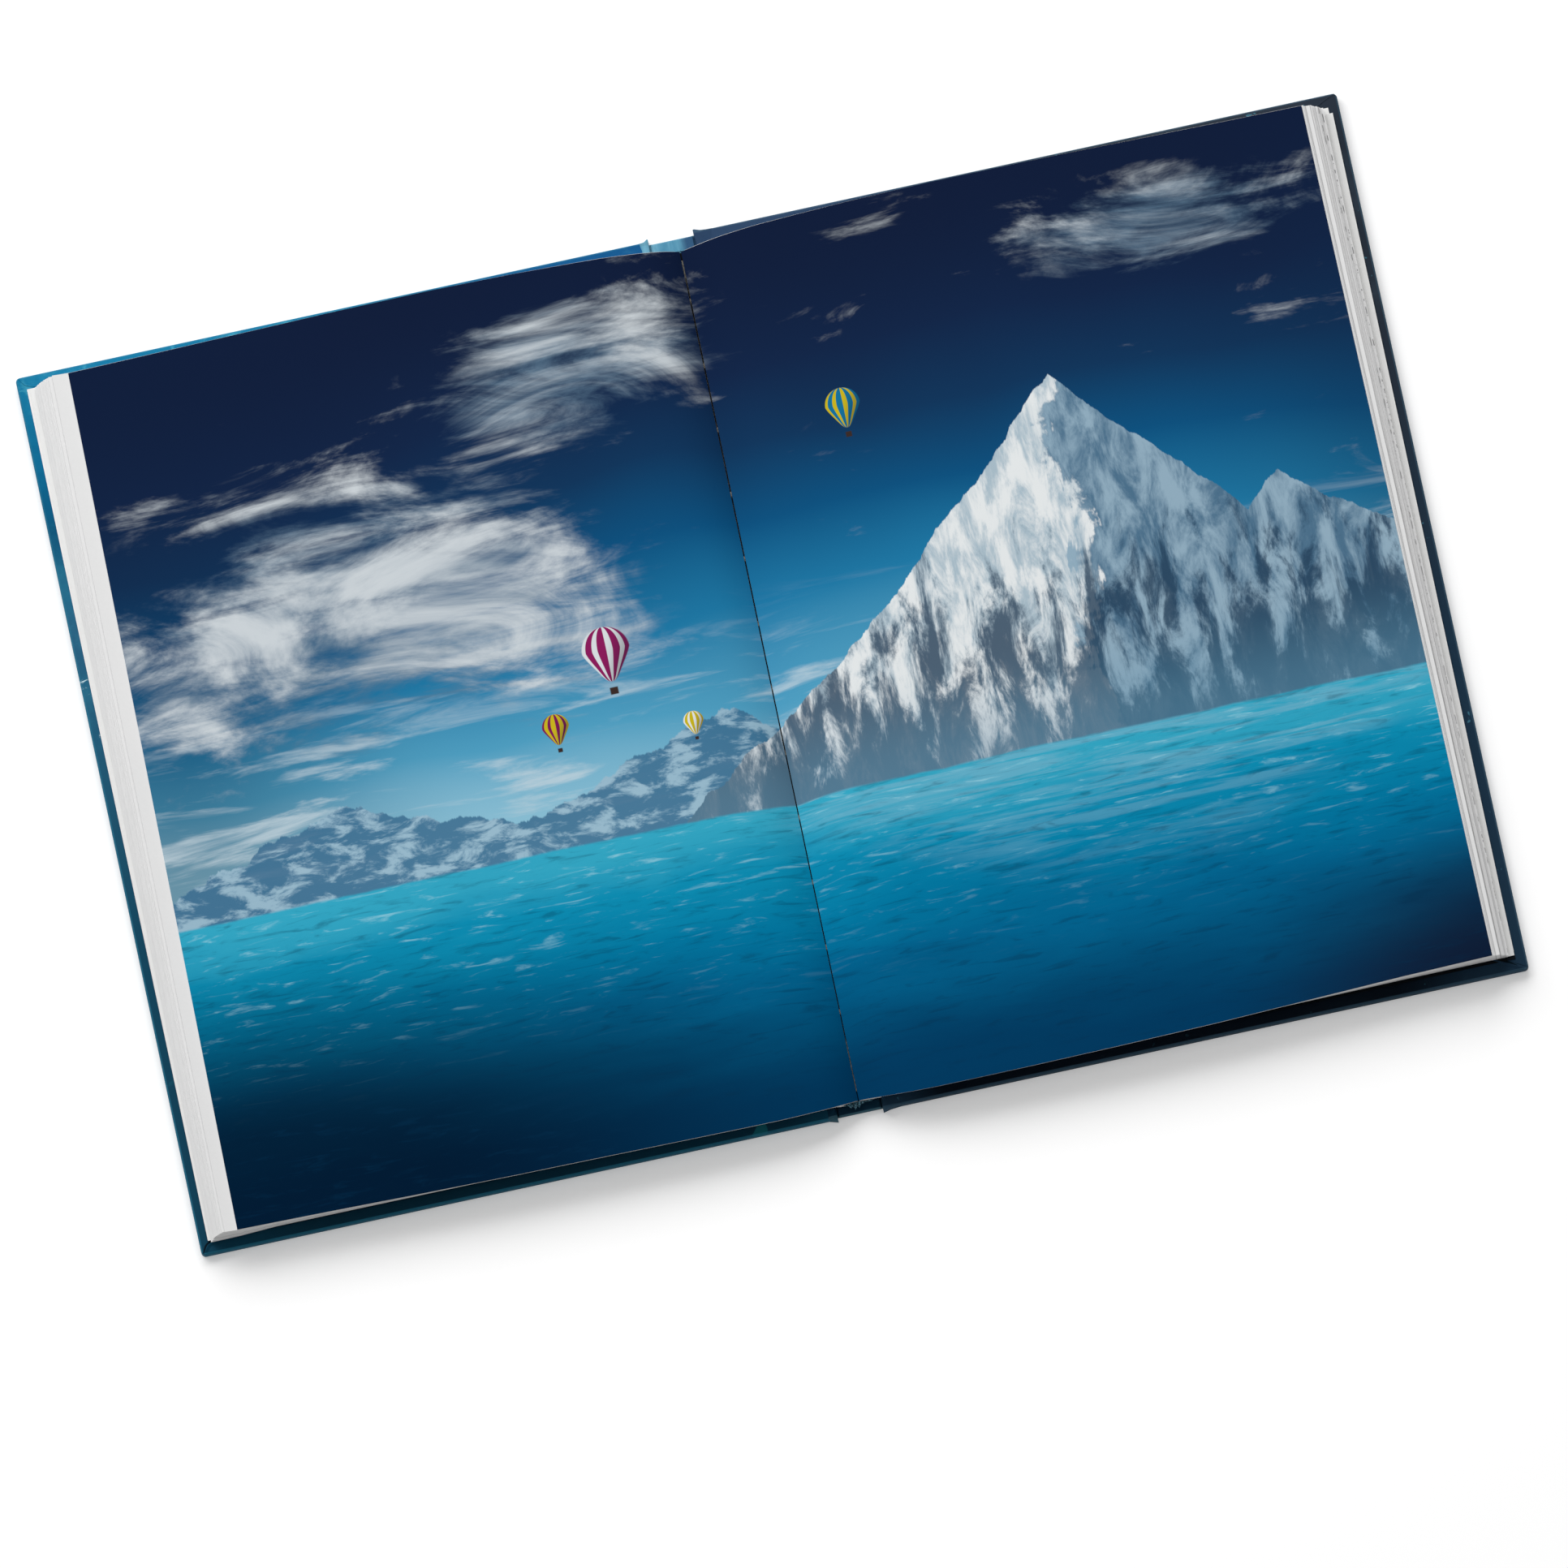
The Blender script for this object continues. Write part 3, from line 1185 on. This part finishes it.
@dataclass
class Spine:
    """The spine's folded sheet and the bands at its ends."""

    left: float = -9.3
    right: float = 5.7
    head: float = 164.1
    foot: float = -164.4
    thick: float = 2.3
    turn_in: float = 14.0
    pressed: float = 0.45
    band_from: float = -6.6
    band_width: float = 9.8
    crimps: int = 32

    def case(self, finish: Material) -> Piece:
        """Model the covering sheet over the stiffener, turned in at both ends."""
        piece = Bench.block("spine_case", (self.left, self.foot, 0), (self.right, self.head, self.thick))

        def on_middle(centre: Vector, normal: Vector) -> bool:
            """Is this the part of the upper face between the two turn-ins?"""
            return normal.z > 0.9 and abs(centre.y) < 20

        def on_ends(a: Vector, b: Vector) -> bool:
            """Is this an edge across the spine at the head or foot?"""
            ends = all(min(abs(p.y - self.foot), abs(p.y - self.head)) < 0.01 for p in (a, b))
            return ends and abs(a.x - b.x) > 5

        Bench.edit()
        for y in (self.foot + self.turn_in, self.head - self.turn_in):
            Bench.cut(0, y, 0, 1)
        Bench.pick_faces(piece, on_middle)
        Bench.sink(self.pressed)
        Bench.pick_edges(piece, on_ends)
        Bench.bevel(0.7, 4)
        return Bench.finish(piece, 40.0, finish)

    def band(self, at_head: bool, finish: Material) -> Piece:
        """Model one crimped band at the end of the pages' back, the head's hardly crimped."""
        out, base = (1, 158.6) if at_head else (-1, -161.0)
        trails = []
        for k in range(self.crimps + 1):
            x = self.band_from + self.band_width * k / self.crimps
            full = min(1.0, max(0.1, 1.3 - abs(x + 2.9) / 2.7)) * (0.15 if at_head else 1.0)
            crimp = (math.sin(k * 1.25) * 0.75 + math.sin(k * 2.9 + 1) * 0.3) * full
            sag = 0.4 * math.sin(k * 0.8 + 0.5) * full
            ring = [
                (x, base, 3.5),
                (x, base + out * 0.1, 3.9 + 1.0 * full),
                (x, base + out * (0.3 + 0.7 * full + crimp * 0.4), 4.0 + 1.1 * full + sag * 0.4),
                (x, base + out * (0.4 + 1.7 * full + crimp * 0.7), 3.9 + 0.6 * full + sag),
                (x, base + out * (0.4 + 1.5 * full + crimp * 0.6), 3.7 + sag * 0.5),
                (x, base + out * (0.3 + 0.5 * full), 3.4),
            ]
            trails.append(ring + ring[:1])
        piece = Bench.skin(f"{'head' if at_head else 'tail'}_band_crimp", trails)
        Bench.close(weld=True)
        return Bench.finish(piece, 50.0, finish)


@dataclass
class Studio:
    """Floor, lamp, world and the camera at the photograph's angle."""

    tilt: float = 16.5
    roll: float = 12.22
    distance: float = 20.0
    view_width: float = 0.5527
    sensor: float = 36.0
    target: Point = (-3.55, -41.1, 3.6)
    lamp_place: Point = (-0.8, 3.0, 2.6)
    lamp_size: tuple[float, float] = (6.0, 2.8)
    lamp_power: float = 212.0
    sky_light: float = 0.36
    floor_tone: float = 0.86
    floor_glow: float = 0.26

    def camera(self) -> None:
        """Stand a long lens over the book, tilted towards the foot and rolled."""
        tilt, roll = math.radians(self.tilt), math.radians(self.roll)
        back = Vector((0, -math.sin(tilt), math.cos(tilt)))
        right = Vector((1, 0, 0))
        up = back.cross(right)
        turned_right = right * math.cos(roll) - up * math.sin(roll)
        turned_up = right * math.sin(roll) + up * math.cos(roll)
        data = bpy.data.cameras.new("camera")
        data.sensor_width = self.sensor
        data.lens = self.sensor * self.distance / self.view_width
        data.clip_end = 100
        camera = bpy.data.objects.new("camera", data)
        bpy.context.collection.objects.link(camera)
        place = Vector(self.target) * MM + back * self.distance
        turn = Matrix((turned_right, turned_up, back)).transposed().to_4x4()
        camera.matrix_world = Matrix.Translation(place) @ turn
        bpy.context.scene.camera = camera

    def floor(self) -> None:
        """Lay a white floor that keeps the book's shadow and glows for the camera alone."""
        Bench.clear()
        bpy.ops.mesh.primitive_plane_add(size=6, location=(0, 0, -0.00005))
        piece = Bench.named("floor")
        material = bpy.data.materials.new("floor_white")
        material.use_nodes = True
        tree = Tree(material.node_tree)
        nodes = material.node_tree.nodes
        tone = (self.floor_tone, self.floor_tone, self.floor_tone, 1)
        matt = tree.lay(nodes["Principled BSDF"], Base_Color=tone, Roughness=0.9, Specular_IOR_Level=0.0)
        glow = tree.lay(tree.node("ShaderNodeEmission"), Color=(1, 1, 1, 1), Strength=self.floor_glow)
        plain = tree.lay(tree.node("ShaderNodeEmission"), Strength=0.0)
        seen = tree.lay(tree.node("ShaderNodeLightPath"), "Is Camera Ray")
        choose, add = tree.node("ShaderNodeMixShader"), tree.node("ShaderNodeAddShader")
        for socket, value in zip(choose.inputs, (seen, plain, glow)):
            tree.feed(socket, value)
        for socket, value in zip(add.inputs, (matt, choose.outputs[0])):
            tree.feed(socket, value)
        tree.feed(nodes["Material Output"].inputs["Surface"], add.outputs[0])
        piece.data.materials.append(material)

    def lamp(self) -> None:
        """Hang one wide area lamp that looks at the book."""
        data = bpy.data.lights.new("key_lamp", "AREA")
        data.shape = "RECTANGLE"
        data.size, data.size_y = self.lamp_size
        data.energy = self.lamp_power
        lamp = bpy.data.objects.new("key_lamp", data)
        bpy.context.collection.objects.link(lamp)
        lamp.location = self.lamp_place
        lamp.rotation_euler = (-Vector(self.lamp_place)).to_track_quat("-Z", "Y").to_euler()

    def build(self) -> None:
        """Set up everything that isn't the book."""
        self.camera()
        self.floor()
        self.lamp()
        world = bpy.data.worlds.new("studio")
        bpy.context.scene.world = world
        world.use_nodes = True
        background = world.node_tree.nodes["Background"]
        background.inputs["Color"].default_value = (1, 1, 1, 1)
        background.inputs["Strength"].default_value = self.sky_light
        bpy.context.scene.view_settings.view_transform = "Standard"


@dataclass
class Book:
    """The whole open book."""

    effects: Effects

    FINISHES = (
        PlainPaper("page_paper", 0.6, 0.15, 0.25, "#ececec", "#e4e4e4", fanned=True),
        PlainPaper("cut_edge", 0.9, 0.1, 0.3, "#e4e4e3", "#d8d8d6"),
        PlainPaper("endpaper", 0.7, 0.2, 0.3, "#eeeeed", "#e6e6e5"),
        PlainPaper("front_pasted_paper", 0.7, 0.1, 0.3, "#eeeeed", "#e6e6e5", hem="#04141f"),
        PlainPaper("back_pasted_paper", 0.7, 0.1, 0.3, "#eeeeed", "#e6e6e5", hem="#04090f"),
        CoverPaper("front_cover_paper", 0.55, 0.05, 0.2),
        CoverPaper(
            "back_cover_paper", 0.55, 0.05, 0.2, "#27303c", "#303c49", "#1b3347", "#26445a",
            mottle=40.0, spread=0.4, specks=True, rubbed="#3c5a6e",
        ),
        SpinePaper("spine_cover_paper", 0.55, 0.05, 0.2),
        Greyboard("greyboard", 0.9, 0.2, 0.4),
        Crease("fold_crease", 0.8, 0.05, 0.2),
        Textile("head_band_textile", 0.9, 0.1, 0.5, "#6ea4ba", "#4a8099", hidden=0.1588),
        Textile("tail_band_textile", 0.9, 0.1, 0.5, "#6a94a6", "#234857"),
        Textile("waxed_thread", 0.6, 0.1, 0.4, "#8a857b", "#0e0d0c", 6000.0, 0.0051),
        Textile("mull", 0.95, 0.1, 0.5, "#d8d4c8", "#b5b0a2", 1800.0),
        SpreadPrint("spread_print", 0.6, 0.012, 0.1),
    )
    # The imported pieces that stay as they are, and their finishes.
    CARRIED = {
        "front_board": "greyboard",
        "back_board": "greyboard",
        "spine_stiffener": "greyboard",
        "front_pastedown": "front_pasted_paper",
        "back_pastedown": "back_pasted_paper",
        "front_fly_leaf": "endpaper",
        "back_fly_leaf": "endpaper",
        "spine_lining": "mull",
        "sewing_thread": "waxed_thread",
    }
    JOINT = {Side.LEFT: 9.9, Side.RIGHT: 6.3}

    def __post_init__(self) -> None:
        """Mix every finish once."""
        self.mixed = {finish.name: finish.build(self.effects) for finish in self.FINISHES}

    def settle(self, piece: Piece, body: str, node: str) -> None:
        """Put a piece on its body and hide the node it stands for."""
        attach(piece, body)
        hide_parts(node)
        LOG.info("%s rides %s with %d faces", piece.name, body, len(piece.data.polygons))

    def pages(self) -> None:
        """Build both halves of the block."""
        mixed = self.mixed
        for side in Side:
            made = Leaves(side).build(mixed["page_paper"], mixed["cut_edge"], mixed["spread_print"])
            for piece in made:
                self.settle(piece, "block", "text_block")

    def covers(self) -> None:
        """Build both covers, their joint folds and their hinge strips."""
        spine_paper = self.mixed["spine_cover_paper"]
        for side, name in ((Side.LEFT, "front"), (Side.RIGHT, "back")):
            slot = f"{name}_cover_paper"
            paper = self.mixed[slot]
            cover = Cover(side, self.JOINT[side])
            made = [cover.build(paper), cover.roll(spine_paper if side is Side.LEFT else paper)]
            made += [cover.mitre(at_head, paper, self.mixed["fold_crease"]) for at_head in (True, False)]
            for piece in made:
                self.settle(piece, f"{name}_cover", f"{name}_wrap")
            strip = cover.hinge(spine_paper)
            start, end = ((side.value * x * MM, 0, 0) for x in (cover.joint - 0.6, cover.joint))
            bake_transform(strip)
            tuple(start)
            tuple(end)
            LOG.info("%s bends between the block and the %s cover", strip.name, name)

    def spine(self) -> None:
        """Build the spine's covering and bands."""
        spine = Spine()
        self.settle(spine.case(self.mixed["spine_cover_paper"]), "block", "spine_wrap")
        for at_head, node in ((True, "head_band"), (False, "tail_band")):
            self.settle(spine.band(at_head, self.mixed[f"{node}_textile"]), "block", node)

    def carried_over(self) -> None:
        """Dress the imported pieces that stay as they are."""
        for node, finish in self.CARRIED.items():
            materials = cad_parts[node].data.materials
            materials.clear()
            materials.append(self.mixed[finish])
            LOG.info("%s stays as packed", node)

    def build(self) -> None:
        """Build every piece in order."""
        self.pages()
        self.covers()
        self.spine()
        self.carried_over()


def main() -> None:
    """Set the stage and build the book."""
    logging.basicConfig(level=logging.INFO, format="%(name)s: %(message)s")
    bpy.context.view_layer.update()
    Studio().build()
    Book(Effects()).build()
    LOG.info("the book is built")


if __name__ == "__main__":
    main()
